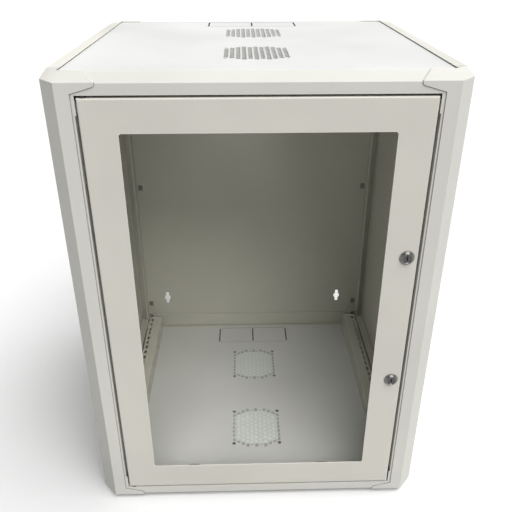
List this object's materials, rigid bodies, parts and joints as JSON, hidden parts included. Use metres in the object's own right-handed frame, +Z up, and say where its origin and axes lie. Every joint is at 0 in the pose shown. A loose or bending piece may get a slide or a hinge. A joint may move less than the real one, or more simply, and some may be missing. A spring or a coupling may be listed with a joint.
{
  "type": "rack cabinet",
  "caption": "Wall-mount 19-inch rack cabinet of folded, painted sheet steel with chamfered corner posts, pierced roof and floor, and a hinged glass door with cam locks.",
  "frame": {"origin": "middle of the cabinet's base, on the surface it stands on", "axes": "+Z up, -Y out of the door, +X to the right seen from the front"},
  "size_m": [0.6, 0.604, 0.8],
  "materials": {
    "cabinet_paint": "light grey fine-texture powder coat",
    "door_paint": "light grey fine-texture powder coat",
    "tinted_glass": "smoked tempered glass",
    "gasket_rubber": "matt black",
    "lock_chrome": "polished die casting",
    "lock_steel": "dull grey",
    "fastener_zinc": "zinc plated",
    "rail_zinc": "galvanised",
    "bush_nylon": "black nylon"
  },
  "bodies": {
    "cabinet": {"front_left_post": "cabinet_paint", "front_right_post": "cabinet_paint", "rear_left_post": "cabinet_paint", "rear_right_post": "cabinet_paint", "front_top_beam": "cabinet_paint", "front_bottom_beam": "cabinet_paint", "rear_top_beam": "cabinet_paint", "rear_bottom_beam": "cabinet_paint", "left_top_side_beam": "cabinet_paint", "right_top_side_beam": "cabinet_paint", "left_bottom_side_beam": "cabinet_paint", "right_bottom_side_beam": "cabinet_paint", "roof_panel": "cabinet_paint", "floor_panel": "cabinet_paint", "back_panel": "cabinet_paint", "left_side_panel": "cabinet_paint", "right_side_panel": "cabinet_paint", "left_jamb": "cabinet_paint", "right_jamb": "cabinet_paint", "left_low_depth_rail": "cabinet_paint", "right_low_depth_rail": "cabinet_paint", "left_high_depth_rail": "cabinet_paint", "right_high_depth_rail": "cabinet_paint", "left_mounting_rail": "rail_zinc", "right_mounting_rail": "rail_zinc"},
    "door": {"door_frame": "door_paint", "door_glass": "tinted_glass", "glass_gasket": "gasket_rubber", "glass_clips": "fastener_zinc", "top_hinge_block": "door_paint", "bottom_hinge_block": "door_paint", "top_hinge_pin": "fastener_zinc", "bottom_hinge_pin": "fastener_zinc", "top_hinge_bush": "bush_nylon", "bottom_hinge_bush": "bush_nylon", "lock_housings": "lock_chrome", "lock_nuts": "fastener_zinc"},
    "upper_lock": {"upper_lock_plug": "lock_steel", "upper_lock_cam": "fastener_zinc", "upper_lock_cam_screw": "fastener_zinc"},
    "lower_lock": {"lower_lock_plug": "lock_steel", "lower_lock_cam": "fastener_zinc", "lower_lock_cam_screw": "fastener_zinc"}
  },
  "joints": [
    {"name": "door_hinge", "type": "hinge", "parent": "cabinet", "child": "door", "pos_m": [-0.239, -0.294, 0.4], "axis": [0, 0, -1], "range_deg": [0, 120]},
    {"name": "upper_lock_turn", "type": "hinge", "parent": "door", "child": "upper_lock", "pos_m": [0.2295, -0.3, 0.52], "axis": [0, -1, 0], "range_deg": [0, 90]},
    {"name": "lower_lock_turn", "type": "hinge", "parent": "door", "child": "lower_lock", "pos_m": [0.2295, -0.3, 0.28], "axis": [0, -1, 0], "range_deg": [0, 90]}
  ]
}
